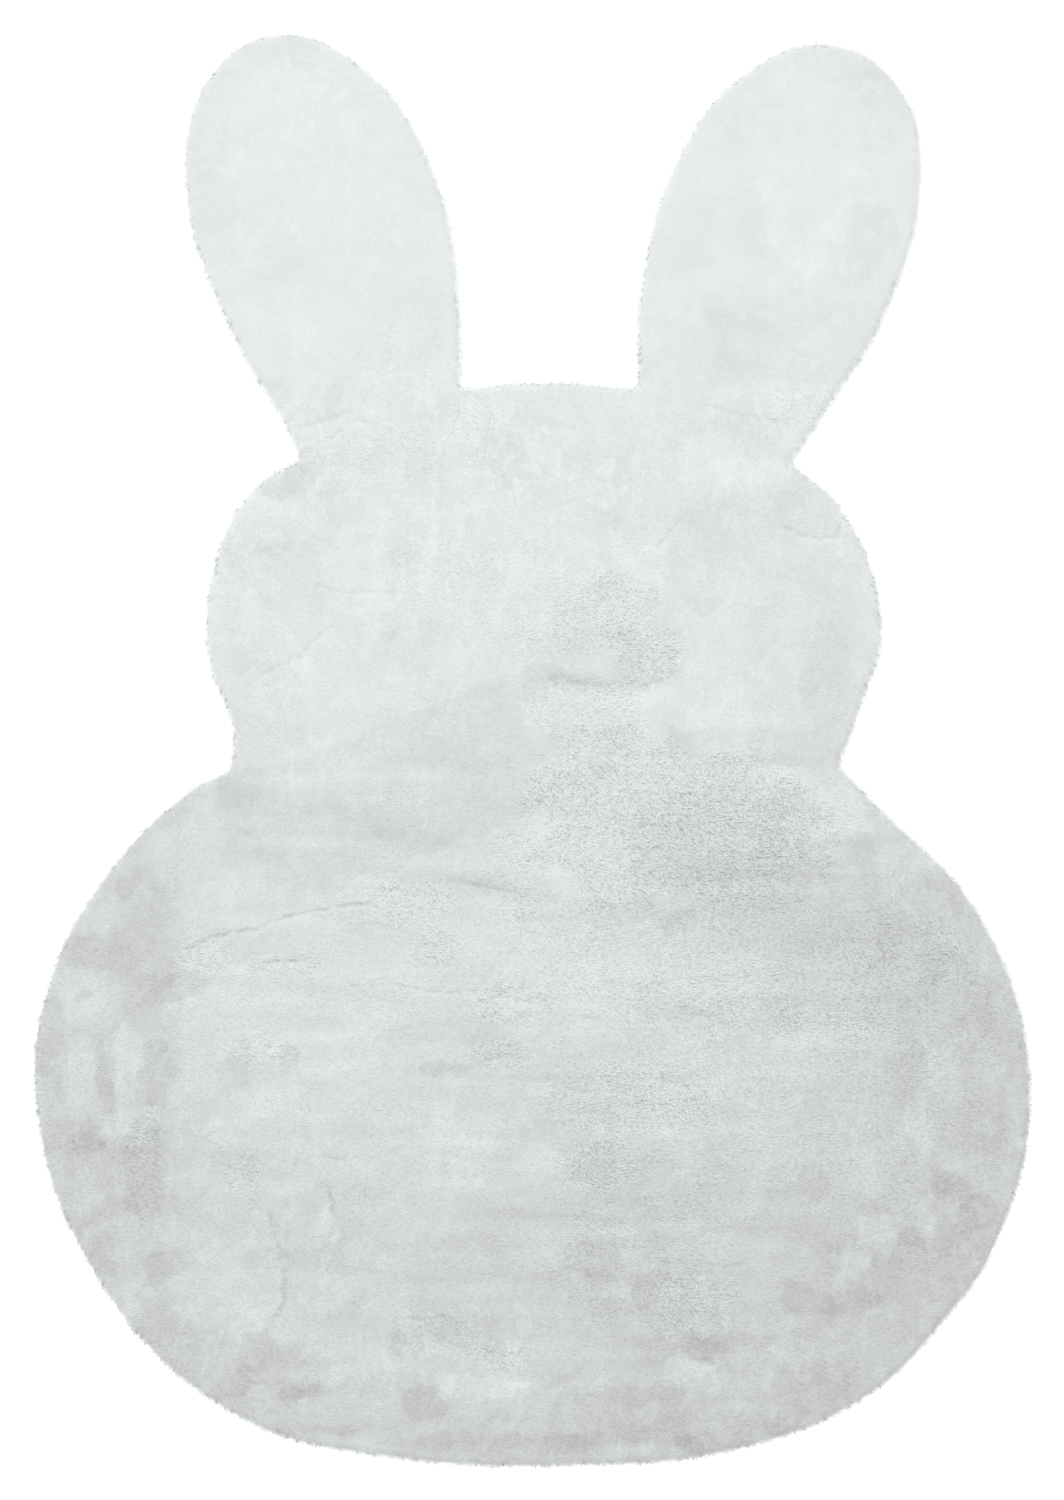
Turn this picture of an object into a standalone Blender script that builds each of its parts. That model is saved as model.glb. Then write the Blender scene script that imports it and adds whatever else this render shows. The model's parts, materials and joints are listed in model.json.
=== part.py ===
"""Rabbit-shaped children's rug: one flat cut of plush pile cloth with two upright ears.

Units are metres and +Z is up. The rug lies on its backing at z = 0 with its ears pointing
along +Y, and the origin is under the middle of its bounding box. Backing and pile are one
cloth, so the rug is one solid: it reaches from the floor to the tips of the pile.
"""
from collections import namedtuple

import bmesh
import bpy

PART_NAME = "rabbit_shaped_rug"

# Driving sizes of the cloth.
THICKNESS = 0.018          # backing and pile together
PILE_RIM = 0.009           # radius of the pile where it rolls over at the cut edge
BACKING_RIM = 0.003        # small round under the cut edge
PILE_RIM_STEPS = 4
BACKING_RIM_STEPS = 2
CURVE_STEPS = 5            # straight facets between two outline points

MERGE_DISTANCE = 0.00001
SHARP_ANGLE = 0.6          # radians; edges flatter than this are shaded smooth

# The outline, clockwise from the middle of the crown. "turn" is "round" where the edge
# runs on smoothly, and "nick" where two lobes of the shape meet in a sharp inner corner.
Edge = namedtuple("Edge", "lobe x y turn")
OUTLINE = (
    Edge("crown", 0.008, 0.411, "round"),
    Edge("crown meets right ear", 0.117, 0.404, "nick"),
    Edge("right ear, inner base", 0.118, 0.500, "round"),
    Edge("right ear, inner side", 0.157, 0.651, "round"),
    Edge("right ear, inner shoulder", 0.230, 0.750, "round"),
    Edge("right ear, tip", 0.330, 0.788, "round"),
    Edge("right ear, outer shoulder", 0.411, 0.738, "round"),
    Edge("right ear, outer side", 0.435, 0.640, "round"),
    Edge("right ear, outer base", 0.392, 0.480, "round"),
    Edge("right ear, outer root", 0.332, 0.383, "round"),
    Edge("right ear meets cheek", 0.290, 0.320, "nick"),
    Edge("right temple", 0.345, 0.270, "round"),
    Edge("right cheek", 0.391, 0.136, "round"),
    Edge("right jaw", 0.371, 0.058, "round"),
    Edge("right jaw meets shoulder", 0.343, -0.018, "nick"),
    Edge("right shoulder", 0.379, -0.055, "round"),
    Edge("right arm", 0.503, -0.189, "round"),
    Edge("right flank", 0.557, -0.385, "round"),
    Edge("right hip", 0.517, -0.556, "round"),
    Edge("right haunch", 0.462, -0.636, "round"),
    Edge("right seat", 0.373, -0.724, "round"),
    Edge("right base", 0.226, -0.783, "round"),
    Edge("bottom", 0.040, -0.8002, "round"),
    Edge("left base", -0.150, -0.792, "round"),
    Edge("left seat", -0.336, -0.742, "round"),
    Edge("left hip", -0.500, -0.567, "round"),
    Edge("left flank", -0.557, -0.372, "round"),
    Edge("left arm", -0.541, -0.262, "round"),
    Edge("left upper arm", -0.491, -0.160, "round"),
    Edge("left shoulder", -0.380, -0.043, "round"),
    Edge("left shoulder meets jaw", -0.340, -0.024, "nick"),
    Edge("left jaw", -0.335, 0.020, "round"),
    Edge("left cheek", -0.361, 0.092, "round"),
    Edge("left temple", -0.361, 0.186, "round"),
    Edge("left brow", -0.314, 0.290, "round"),
    Edge("cheek meets left ear", -0.261, 0.325, "nick"),
    Edge("left ear, outer root", -0.282, 0.370, "round"),
    Edge("left ear, outer base", -0.330, 0.450, "round"),
    Edge("left ear, outer side", -0.389, 0.640, "round"),
    Edge("left ear, outer shoulder", -0.357, 0.757, "round"),
    Edge("left ear, tip", -0.284, 0.799, "round"),
    Edge("left ear, inner shoulder", -0.194, 0.766, "round"),
    Edge("left ear, inner side", -0.109, 0.645, "round"),
    Edge("left ear, inner base", -0.079, 0.465, "round"),
    Edge("left ear meets crown", -0.080, 0.404, "nick"),
)


def clear_objects():
    """Empty the scene."""
    for existing in list(bpy.data.objects):
        bpy.data.objects.remove(existing, do_unlink=True)


def make_collection(name):
    """Add a collection to the scene for the part."""
    collection = bpy.data.collections.new(name)
    bpy.context.scene.collection.children.link(collection)
    return collection


def make_pile_cloth():
    """Pale cool-grey plush: matt, with no metal and hardly any gloss."""
    material = bpy.data.materials.new("pile_cloth")
    material.use_nodes = True
    shader = material.node_tree.nodes["Principled BSDF"]
    shader.inputs["Base Color"].default_value = (0.72, 0.74, 0.75, 1.0)
    shader.inputs["Roughness"].default_value = 0.95
    shader.inputs["Metallic"].default_value = 0.0
    return material


def outline_curve():
    """Flat closed curve through the outline points, filled and as thick as the rug."""
    curve = bpy.data.curves.new("rug_outline", "CURVE")
    curve.dimensions = "2D"
    curve.fill_mode = "BOTH"
    curve.extrude = THICKNESS / 2
    curve.resolution_u = CURVE_STEPS
    spline = curve.splines.new("BEZIER")
    spline.use_cyclic_u = True
    spline.bezier_points.add(len(OUTLINE) - 1)
    for point, edge in zip(spline.bezier_points, OUTLINE):
        point.co = (edge.x, edge.y, 0.0)
        handle = "AUTO" if edge.turn == "round" else "VECTOR"
        point.handle_left_type = handle
        point.handle_right_type = handle
    return bpy.data.objects.new("rug_outline", curve)


def curve_to_mesh(curve_object, collection, name):
    """Turn the filled curve into one closed mesh and remove the curve."""
    collection.objects.link(curve_object)
    depsgraph = bpy.context.evaluated_depsgraph_get()
    mesh = bpy.data.meshes.new_from_object(curve_object.evaluated_get(depsgraph))
    mesh.name = name
    bpy.data.objects.remove(curve_object, do_unlink=True)
    return mesh


def rim_edges(shape, height):
    """The outline's edges at one height, where a wall meets a flat face."""
    edges = []
    for edge in shape.edges:
        level = all(abs(vert.co.z - height) < MERGE_DISTANCE for vert in edge.verts)
        folded = not edge.is_boundary and edge.calc_face_angle(0.0) > 1.0
        if level and folded:
            edges.append(edge)
    return edges


def round_rim(shape, height, radius, steps):
    """Roll the cut edge over at one height."""
    bmesh.ops.bevel(
        shape,
        geom=rim_edges(shape, height),
        offset=radius,
        segments=steps,
        profile=0.5,
        affect="EDGES",
        material=-1,
        clamp_overlap=False,
    )


def stand_on_origin(shape):
    """Put the middle of the bounding box over the origin and the backing at z = 0."""
    lows = [min(vert.co[axis] for vert in shape.verts) for axis in range(3)]
    highs = [max(vert.co[axis] for vert in shape.verts) for axis in range(3)]
    shift = (-(lows[0] + highs[0]) / 2, -(lows[1] + highs[1]) / 2, -lows[2])
    bmesh.ops.translate(shape, verts=shape.verts, vec=shift)


def make_rug(collection, cloth):
    """The whole rug: head, body and both ears in one piece."""
    mesh = curve_to_mesh(outline_curve(), collection, "rug")
    shape = bmesh.new()
    shape.from_mesh(mesh)
    bmesh.ops.remove_doubles(shape, verts=shape.verts, dist=MERGE_DISTANCE)
    stand_on_origin(shape)
    round_rim(shape, THICKNESS, PILE_RIM, PILE_RIM_STEPS)
    round_rim(shape, 0.0, BACKING_RIM, BACKING_RIM_STEPS)
    bmesh.ops.recalc_face_normals(shape, faces=shape.faces)
    shape.to_mesh(mesh)
    shape.free()
    mesh.materials.clear()
    mesh.materials.append(cloth)
    mesh.shade_smooth()
    mesh.set_sharp_from_angle(angle=SHARP_ANGLE)
    rug = bpy.data.objects.new("rug", mesh)
    collection.objects.link(rug)
    return rug


def main():
    clear_objects()
    collection = make_collection(PART_NAME)
    make_rug(collection, make_pile_cloth())


main()
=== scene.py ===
"""Plush rabbit rug: a woven backing, the pile on it, and the loose fibres round its rim."""

import json
import math
from collections import namedtuple

import bmesh
import bpy
import numpy as np
from bpy.props import FloatProperty, FloatVectorProperty, IntProperty, PointerProperty
from mathutils import Matrix, Vector, noise

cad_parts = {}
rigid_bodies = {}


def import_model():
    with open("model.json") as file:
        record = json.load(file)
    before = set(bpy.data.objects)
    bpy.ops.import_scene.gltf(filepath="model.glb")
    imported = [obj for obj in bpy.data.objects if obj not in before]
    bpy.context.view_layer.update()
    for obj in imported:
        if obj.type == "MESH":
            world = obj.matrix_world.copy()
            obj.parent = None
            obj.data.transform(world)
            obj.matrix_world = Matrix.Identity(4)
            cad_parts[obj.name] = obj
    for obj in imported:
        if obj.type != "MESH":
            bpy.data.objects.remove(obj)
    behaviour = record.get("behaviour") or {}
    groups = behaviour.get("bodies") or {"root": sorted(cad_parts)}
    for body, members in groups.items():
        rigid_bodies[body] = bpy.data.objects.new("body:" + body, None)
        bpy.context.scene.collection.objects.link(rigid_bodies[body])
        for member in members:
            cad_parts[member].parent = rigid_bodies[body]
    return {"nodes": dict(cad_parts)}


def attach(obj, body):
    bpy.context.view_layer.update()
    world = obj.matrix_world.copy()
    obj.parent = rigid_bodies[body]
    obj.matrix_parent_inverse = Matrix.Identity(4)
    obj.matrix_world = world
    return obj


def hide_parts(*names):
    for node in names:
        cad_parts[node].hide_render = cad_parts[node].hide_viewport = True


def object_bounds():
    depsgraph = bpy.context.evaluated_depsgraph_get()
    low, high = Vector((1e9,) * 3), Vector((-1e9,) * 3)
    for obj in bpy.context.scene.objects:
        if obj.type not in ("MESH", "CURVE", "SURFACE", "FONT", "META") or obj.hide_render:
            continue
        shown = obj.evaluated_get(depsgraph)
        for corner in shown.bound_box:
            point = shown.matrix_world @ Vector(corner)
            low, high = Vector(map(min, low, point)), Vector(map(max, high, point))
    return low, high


bl_info = {
    "name": "Plush Rabbit Rug",
    "version": (1, 0, 0),
    "blender": (4, 5, 0),
    "location": "3D View > Sidebar > Plush Rug",
    "description": "Builds the pile, backing and stage of a rabbit-shaped plush rug",
    "category": "Add Mesh",
}

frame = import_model()
RUG_LOW, RUG_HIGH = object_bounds()
RUG_SIZE = RUG_HIGH - RUG_LOW

# Heights over the floor, in metres: the cut that opens the underside of the pile, the lowest that
# its body and its fibres reach, and where its upper face starts.
UNDERSIDE = 0.002
BODY_LOW = 0.001
FIBRE_LOW = 0.0005
UPPER_FACE = 0.012


# -------- how the pile lies, and the light and shade painted from it

# Pile that leans towards the light shows light, and pile that leans away shows darker; that light
# and shade is painted into the pile's colour. A lean of 1 is the lightest pile and 0 the darkest.
# The profile below gives it from the ears down to the lower edge.
PAINTED_SHADE_PROFILE = ((0.80, 0.91), (0.45, 0.90), (0.33, 0.85), (0.10, 0.80), (-0.05, 0.74), (-0.14, 0.57),
         (-0.38, 0.47), (-0.52, 0.38), (-0.62, 0.33), (-0.72, 0.32), (-0.80, 0.18))

# A part of the pile: its middle, half width and half height, by how much its pile differs, its turn
# in degrees, and how soft its edge is.
Part = namedtuple("Part", "x y wide high amount turn soft")


def part_row(x, y, wide, high, amount, turn=0, soft=60):
    """A part in metres and shares, from a row in millimetres and percent."""
    sizes = (size / 1000.0 for size in (x, y, wide, high))
    return Part(*sizes, amount / 100.0, turn, soft / 100.0)


# Broad parts with rounded corners that were brushed one way: painted light (+) or painted shade (-)
# in the pile's colour.
PAINTED_SHADE_SWEEPS = [part_row(*row) for row in (
    (-105, -30, 215, 78, -20, 20, 12),
    (240, -90, 220, 85, -10, 0, 25),
    (190, -90, 90, 60, -6, 0, 25),
    (65, -130, 45, 36, 20, 0, 25),
    (480, -280, 170, 330, -22, 0, 80),
    (300, -240, 140, 110, -6),
    (-500, -340, 105, 220, -20, 0, 20),
    (-320, -20, 160, 60, -8),
    (-460, -60, 120, 50, -12, 35, 50),
    (310, -600, 210, 150, -16),
    (-370, -640, 120, 100, -6, -35),
    (300, 140, 60, 130, -11),
    (100, -600, 50, 120, -16),
    (530, -370, 50, 100, -20, 10),
    (-380, -90, 70, 50, -14, 35),
    (280, 450, 100, 40, -10, 0, 80),
    (-60, -600, 80, 60, -11),
    (-200, -640, 120, 60, 8),
    (-90, -130, 60, 35, -7, 0, 50),
    (-490, -230, 50, 30, -16),
    (-210, -284, 190, 160, 7, 0, 20),
    (150, -560, 120, 60, -8),
    (-490, -460, 30, 30, -16),
    (72, 104, 60, 34, -20, 0, 25),
    (-330, -700, 150, 40, -5, -32),
    (-120, -768, 170, 26, -3, -6),
    (110, -752, 170, 34, -6, 0, 50),
    (290, -735, 80, 24, -6, 22),
    (-350, -485, 50, 44, -10, 0, 30),
    (-438, -215, 34, 80, -6, 0, 25),
    (-432, -468, 24, 54, -14, 0, 20),
    (-490, -275, 34, 32, 14, 0, 30),
    (-446, -360, 18, 50, 14, 6, 40),
    (-502, -365, 16, 44, 14, -6, 40),
    (-345, -590, 55, 60, 9, 0, 50),
    (-265, -490, 34, 12, 14, 50, 50),
    (-235, -530, 34, 10, 14, 60, 50),
    (-60, -690, 60, 30, 9, 0, 50),
    (240, 4, 90, 20, -18, 0, 50),
    (-90, -165, 60, 22, -14),
    (215, -140, 102, 60, -12, 0, 12),
    (55, -105, 55, 35, 8, 0, 25),
    (100, -41, 100, 7, 14),
    (340, -75, 60, 24, 14, 0, 40),
    (100, -550, 30, 20, 16),
    (-360, 110, 18, 90, 8),
    (520, -460, 30, 50, 14),
    (380, -470, 30, 30, 12),
    (150, 265, 70, 24, -8),
    (30, -152, 50, 12, -16),
    (400, -290, 35, 20, -16, 0, 50),
    (-455, -265, 20, 30, -14, 0, 50),
    (50, -480, 90, 70, -9),
    (-200, -70, 30, 20, 14),
    (130, -590, 35, 30, 12),
    (350, -465, 40, 30, 12),
    (50, -358, 160, 9, -16, 0, 80),
    (100, -377, 100, 8, 14, 0, 80),
    (240, -195, 140, 32, -16, 0, 50),
    (330, -215, 70, 50, -10),
    (60, -100, 55, 50, 8, 0, 40),
    (-490, -110, 50, 16, 14, 38),
    (470, -140, 45, 20, 18, -45),
    (-330, -370, 20, 30, -10),
)]

# Patches where a hand or foot has turned the pile: painted light (+) or painted shade (-) in its
# colour.
PAINTED_SHADE_PATCHES = [part_row(*row) for row in (
    # ears
    (-280, 780, 60, 20, -10, 0, 90),
    (-360, 650, 30, 110, -6, 5, 90),
    (-250, 548, 60, 35, -5, 0, 90),
    (-130, 470, 45, 50, -7, 30, 80),
    (-350, 580, 30, 30, -5, 0, 90),
    (-255, 730, 75, 50, 6, 0, 90),
    (-270, 430, 50, 50, 7, 0, 90),
    (345, 768, 60, 20, -11, -10, 80),
    (392, 725, 26, 50, -12, 25, 70),
    (372, 570, 26, 40, -13, 0, 70),
    (232, 468, 35, 60, -11, 0, 80),
    (170, 570, 30, 40, -6, 0, 80),
    (250, 580, 20, 30, -8, 0, 70),
    (275, 590, 12, 55, 10, 22, 70),
    (328, 570, 12, 50, 11, -35, 70),
    (215, 665, 50, 40, 6, 0, 90),
    # head
    (-275, 298, 28, 16, -22, 35),
    (-170, 325, 28, 14, -12, 20),
    (-220, 290, 20, 10, -12, 10),
    (-120, 315, 22, 22, -10),
    (-215, 255, 30, 16, -11, 30),
    (-288, 225, 14, 8, -16, 0, 50),
    (-268, 188, 36, 48, -10),
    (-155, 215, 18, 9, -12, 0, 50),
    (-160, 130, 9, 13, -18, 0, 50),
    (-112, 130, 20, 13, -12),
    (80, 150, 58, 32, -10, 28, 50),
    (128, 104, 34, 36, -16, 0, 40),
    (55, 45, 60, 18, 14),
    (192, 162, 22, 12, -16, 0, 50),
    (200, 222, 48, 36, -9, 10, 50),
    (205, 265, 30, 14, -8),
    (305, 275, 30, 30, -9, 0, 70),
    (330, 60, 28, 80, -9, 0, 80),
    (230, 310, 30, 15, 8, 0, 70),
    (170, 8, 18, 18, -20),
    (-60, 85, 50, 12, 6, 0, 80),
    (240, 70, 70, 60, 8, 0, 90),
    # shoulders, left
    (-330, -40, 34, 18, -26, 20, 50),
    (-410, -78, 34, 12, -14, 30),
    (-445, -195, 26, 55, -10, -5, 40),
    (-408, -200, 20, 60, -14, 0, 80),
    (-400, -262, 36, 16, -30, 10, 40),
    (-455, -148, 30, 10, -20, 30, 50),
    (-485, -190, 24, 26, 10, 0, 50),
    (-500, -225, 38, 18, -18, -10, 50),
    (-492, -268, 40, 26, 12, 0, 50),
    (-496, -272, 8, 6, -28, 0, 50),
    (-325, -115, 22, 20, -15),
    (-230, -70, 70, 8, -10, 0, 80),
    (-160, -92, 22, 8, -14, 10, 70),
    (-50, -152, 42, 8, -20, -14, 80),
    (-230, -20, 60, 30, 14, 0, 80),
    (-120, -50, 110, 50, -5),
    (-100, 15, 80, 25, -6, 10, 70),
    (-150, -175, 30, 18, 12, 0, 70),
    # shoulders, right
    (200, -72, 85, 22, -16),
    (292, -70, 22, 28, -16, 0, 40),
    (245, -132, 85, 20, -18),
    (60, -58, 50, 15, -10, 0, 70),
    (45, -88, 45, 12, 16, 0, 70),
    (345, -66, 26, 22, 22, 0, 50),
    (280, -32, 30, 12, 16),
    (110, -158, 60, 9, 20),
    (75, -180, 85, 12, -18, -3),
    (165, -193, 22, 13, -26, 0, 50),
    (30, -238, 50, 32, 18, 0, 70),
    (420, -125, 36, 22, 20),
    (462, -155, 12, 34, -24, 32, 50),
    (418, -238, 40, 50, -20),
    (482, -275, 36, 40, -22),
    (280, -290, 30, 12, -20, 0, 50),
    (415, -355, 18, 42, -18),
    (340, -320, 45, 14, 12, 0, 70),
    (510, -350, 18, 20, 18, 0, 50),
    (490, -420, 36, 30, -16),
    # belly
    (-540, -330, 16, 55, -18),
    (-505, -365, 16, 36, 10, 0, 50),
    (-474, -375, 9, 50, -28, 14, 50),
    (-450, -345, 13, 42, 12, 0, 50),
    (-418, -360, 16, 36, -26, 0, 50),
    (-440, -385, 8, 22, -18, 20, 50),
    (-510, -430, 44, 22, -26, 0, 50),
    (-432, -462, 24, 56, -12, 0, 25),
    (-450, -414, 34, 14, 24, 15),
    (-325, -350, 12, 24, -20),
    (-300, -334, 36, 6, 16),
    (-270, -346, 12, 12, -20),
    (-95, -356, 26, 7, -32, -8, 70),
    (-40, -328, 28, 22, -18),
    (-10, -302, 28, 18, 14, 0, 70),
    (-170, -306, 80, 6, -14, 0, 80),
    (75, -388, 60, 20, -20),
    (65, -466, 28, 22, -22, 0, 50),
    (130, -470, 30, 20, -12),
    (295, -482, 34, 22, -26),
    (15, -460, 22, 16, 16, 20),
    (465, -480, 26, 16, -28, 0, 50),
    (432, -420, 12, 40, 18),
    (-70, -460, 22, 28, 16),
    (-490, -490, 22, 22, 14),
    (-420, -532, 30, 16, 14, -10),
    # lower edge, left
    (-470, -512, 30, 13, -12, 30, 50),
    (-480, -558, 16, 22, -22),
    (-410, -575, 26, 17, -30, 30, 50),
    (-400, -660, 50, 30, -14, -40, 70),
    (-200, -534, 22, 12, -18),
    (-245, -556, 40, 6, -14, 14),
    (-278, -522, 10, 22, -14),
    (-275, -690, 52, 28, -22, -20, 40),
    (-330, -708, 34, 12, -24, 20, 50),
    (-240, -716, 20, 10, -20),
    (-220, -756, 22, 7, -30, 0, 50),
    (-120, -722, 22, 22, -34, 0, 40),
    (-55, -710, 44, 14, 20, 0, 50),
    (-120, -645, 40, 14, -16),
    (-150, -658, 10, 14, -22, -20),
    (-40, -772, 120, 12, -22),
    (-380, -600, 30, 40, 8, 0, 80),
    # lower edge, right
    (70, -568, 34, 20, -24, 0, 50),
    (92, -525, 24, 20, 14),
    (122, -610, 16, 12, -26, 0, 50),
    (308, -612, 26, 16, -28, 0, 70),
    (352, -612, 30, 12, -20, 10, 80),
    (188, -666, 26, 18, -24, -20, 50),
    (176, -688, 30, 12, 24, 0, 35),
    (498, -512, 18, 20, -24, 0, 50),
    (382, -536, 20, 18, 22, 0, 50),
    (440, -520, 8, 24, 20, 0, 50),
    (362, -570, 14, 20, 20, 0, 50),
    (330, -560, 16, 24, -16, 20, 50),
    (412, -560, 12, 30, -16, 0, 50),
    (32, -704, 18, 6, -28, 0, 50),
    (290, -736, 24, 10, -26, 0, 50),
    (182, -770, 24, 10, -34, 0, 50),
    (110, -742, 100, 28, -18),
    (255, -758, 40, 12, -20, 10),
    (340, -690, 30, 20, -12),
    (225, -580, 50, 40, 12, 0, 80),
    (90, -680, 30, 18, 10, 0, 70),
    (230, -705, 30, 12, 14),
)]

# Zones where the pile stands in coarser pebbles: 0 is combed smooth and 100 the coarsest.
ZONES = [part_row(*row) for row in (
    (170, -85, 170, 80, 62, 0, 35),
    (80, -50, 80, 80, 55, 0, 25),
    (240, -75, 90, 55, 20),
    (75, 150, 65, 40, 46, 25),
    (128, 105, 35, 35, 50, 0, 50),
    (60, 40, 65, 40, 40, 0, 50),
    (-20, 170, 110, 60, 14, 0, 80),
    (-100, 210, 60, 30, 15, 0, 80),
    (220, -230, 230, 90, 32),
    (440, -270, 80, 90, 20, 0, 70),
    (100, -390, 110, 40, 34, 0, 50),
    (70, -465, 50, 30, 45, 0, 50),
    (130, -560, 100, 80, 22, 0, 70),
    (300, -400, 180, 120, 16, 0, 80),
    (-140, -170, 50, 28, 42, 0, 50),
    (-370, -225, 30, 22, 34, 0, 50),
    (-270, -240, 36, 12, 36, 0, 50),
    (-110, -220, 26, 20, 34, 0, 50),
    (-20, -285, 50, 24, 34, 0, 50),
    (-30, -340, 36, 16, 36, 0, 50),
    (-432, -462, 24, 56, 34, 0, 40),
    (-300, -336, 44, 14, 36, 0, 50),
    (-320, -470, 26, 26, 26),
    (-110, -650, 50, 20, 30),
    (-30, -675, 40, 16, 34),
    (180, -620, 50, 36, 26),
    (300, 385, 60, 24, 26, 20, 70),
    (-130, 450, 45, 45, 14, 30, 70),
    (-150, 330, 110, 30, 18, 0, 70),
    (-60, 370, 40, 24, 20, 0, 70),
    (510, -350, 20, 20, 30, 0, 50),
    (-140, -55, 34, 14, 24),
    (-20, -130, 30, 50, 24),
)]

# How coarse the pile is outside those zones, from the ears down, as a share.
SMOOTHEST = ((0.80, 0.06), (0.45, 0.08), (0.35, 0.18), (0.0, 0.22), (-0.3, 0.34), (-0.8, 0.30))

# How much hands and feet have rubbed the pile, down the middle of the rug.
STIRRED = (
    (0.80, 0.45), (0.45, 0.35), (0.35, 0.80), (0.0, 0.50), (-0.3, 0.45), (-0.55, 0.70), (-0.8, 1.0),
)

# A crease where the pile parts along a line: its width, how deep it lies, how dark the painted shade
# at its bottom and how light the painted highlight on its lower lip show, the share of its length
# that is closed, and the points it follows.
Crease = namedtuple("Crease", "width deep dark lip closed points")


def crease_row(width, deep, dark, lip, closed, *points):
    """A crease in metres and shares, from a row in millimetres and percent."""
    route = [(x / 1000.0, y / 1000.0) for x, y in points]
    return Crease(width / 1000.0, deep / 1000.0, dark / 100.0, lip / 100.0, closed / 100.0, route)


CREASES = [crease_row(*row) for row in (
    (
        3, 3, 75, 22, 30,
        (-385, -224), (-360, -210), (-334, -204), (-308, -200), (-286, -190), (-262, -183),
        (-235, -178), (-200, -173), (-168, -170),
    ),
    (3.2, 2.8, 70, 16, 20, (-298, -236), (-276, -236), (-256, -234)),
    (2.8, 2.4, 48, 14, 40, (-205, -262), (-160, -262), (-128, -266), (-98, -272), (-58, -268)),
    (3.4, 3, 60, 20, 30, (-40, -272), (-18, -281), (12, -278)),
    (3, 2.6, 45, 16, 45, (-50, -344), (-26, -342), (2, -344)),
    (3, 2.6, 50, 18, 45, (-190, -156), (-168, -154), (-140, -160)),
    (2.6, 2, 40, 14, 50, (-190, -190), (-170, -198), (-150, -200)),
    (2.8, 2.4, 55, 16, 30, (-124, -222), (-112, -217), (-104, -218)),
    (3, 2.2, 40, 20, 35, (-330, -334), (-302, -331), (-262, -333)),
    (2.8, 2.4, 60, 14, 15, (-328, -452), (-318, -456), (-308, -455)),
    (2.8, 2.4, 60, 14, 15, (-232, -453), (-218, -456), (-206, -460)),
    (3.4, 2.8, 62, 12, 15, (-227, -486), (-223, -502), (-222, -520)),
    (4, 2.4, 38, 8, 25, (-292, -512), (-288, -538), (-276, -566)),
    (4, 2.8, 55, 10, 10, (-275, -578), (-276, -600), (-275, -618), (-288, -634)),
    (9, 2.2, 56, 16, 0, (18, 80), (60, 75), (120, 69), (158, 84)),
    (3.5, 2.4, 42, 12, 15, (278, 250), (300, 240), (322, 234), (340, 238), (344, 250)),
    (3, 1.6, 22, 8, 20, (-252, 184), (-210, 176), (-150, 175)),
    (4, 1.8, 22, 8, 20, (-302, 82), (-260, 104), (-222, 140)),
    (4, 1.8, 22, 10, 20, (128, 216), (152, 236), (166, 258)),
    (4, 2, 30, 10, 20, (-262, 356), (-232, 368), (-196, 378)),
    (4, 2, 26, 10, 25, (190, 384), (232, 374), (286, 362)),
    (3.6, 2.4, 38, 22, 5, (482, -250), (490, -260), (500, -262)),
    (3, 2.2, 40, 14, 30, (164, -50), (182, -49), (200, -52)),
    (3, 2, 34, 12, 45, (165, -288), (185, -296), (205, -300)),
    (3.4, 2.2, 38, 14, 45, (30, -378), (60, -382), (110, -380)),
    (3, 2.2, 44, 12, 35, (-150, -632), (-120, -636), (-96, -630)),
    (3, 2.2, 40, 14, 45, (-70, -664), (-36, -672), (-10, -680)),
    (3.6, 2.2, 36, 18, 10, (150, -674), (176, -678), (202, -682)),
    (3.6, 2.4, 30, 12, 10, (-80, -146), (-50, -153), (-12, -160)),
)]


# -------- settings


def length(name, description, default, low=0.0):
    """A length that a user can change."""
    return FloatProperty(name=name, description=description, default=default, min=low, unit="LENGTH")


def number(name, description, default):
    """A plain number that a user can change."""
    return FloatProperty(name=name, description=description, default=default, min=0.0)


def colour(name, description, default):
    """A colour that a user can change."""
    return FloatVectorProperty(
        name=name, description=description, subtype="COLOR", size=3, default=default, min=0.0, max=1.0,
    )


class RugSettings(bpy.types.PropertyGroup):
    """Sizes of the backing and of the body of the pile."""

    backing_thickness: length("Backing Thickness", "Thickness of the backing cloth", 0.002, 0.001)
    backing_inset: length("Backing Inset", "How far the backing's edge lies inside the pile's", 0.006)
    cell: length("Cell", "Spacing of the points on the body of the pile", 0.003, 0.002)
    depth: length("Depth", "How far the body of the pile lies inside the tips of its fibres", 0.0016)
    swell: length("Swell", "Height of the soft waves over the body", 0.0014)
    lump: length("Lump", "Height of the small lumps where the pile is coarse", 0.0006)
    pebble: length("Pebble", "Height of the pebbles that coarse pile gathers into", 0.0008)
    ragged: length("Ragged Edge", "How far the edge of the pile wanders in and out", 0.0018)
    seed: IntProperty(name="Seed", description="Start of the noise over the pile", default=1, min=0)


class FibreSettings(bpy.types.PropertyGroup):
    """Size and number of the loose fibres round the rim."""

    density: number("Density", "Fibres for each square metre where the rim is steep", 240000.0)
    length: length("Length", "Length of a fibre at the rim's upper edge", 0.0062, 0.001)
    width: length("Width", "Width of a fibre at the rim's upper edge", 0.0022, 0.0002)
    clump: length("Clump", "Size of the clumps that fibres gather into", 0.0055, 0.001)
    seed: IntProperty(name="Seed", description="Start of the random draws", default=4, min=0)


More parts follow.
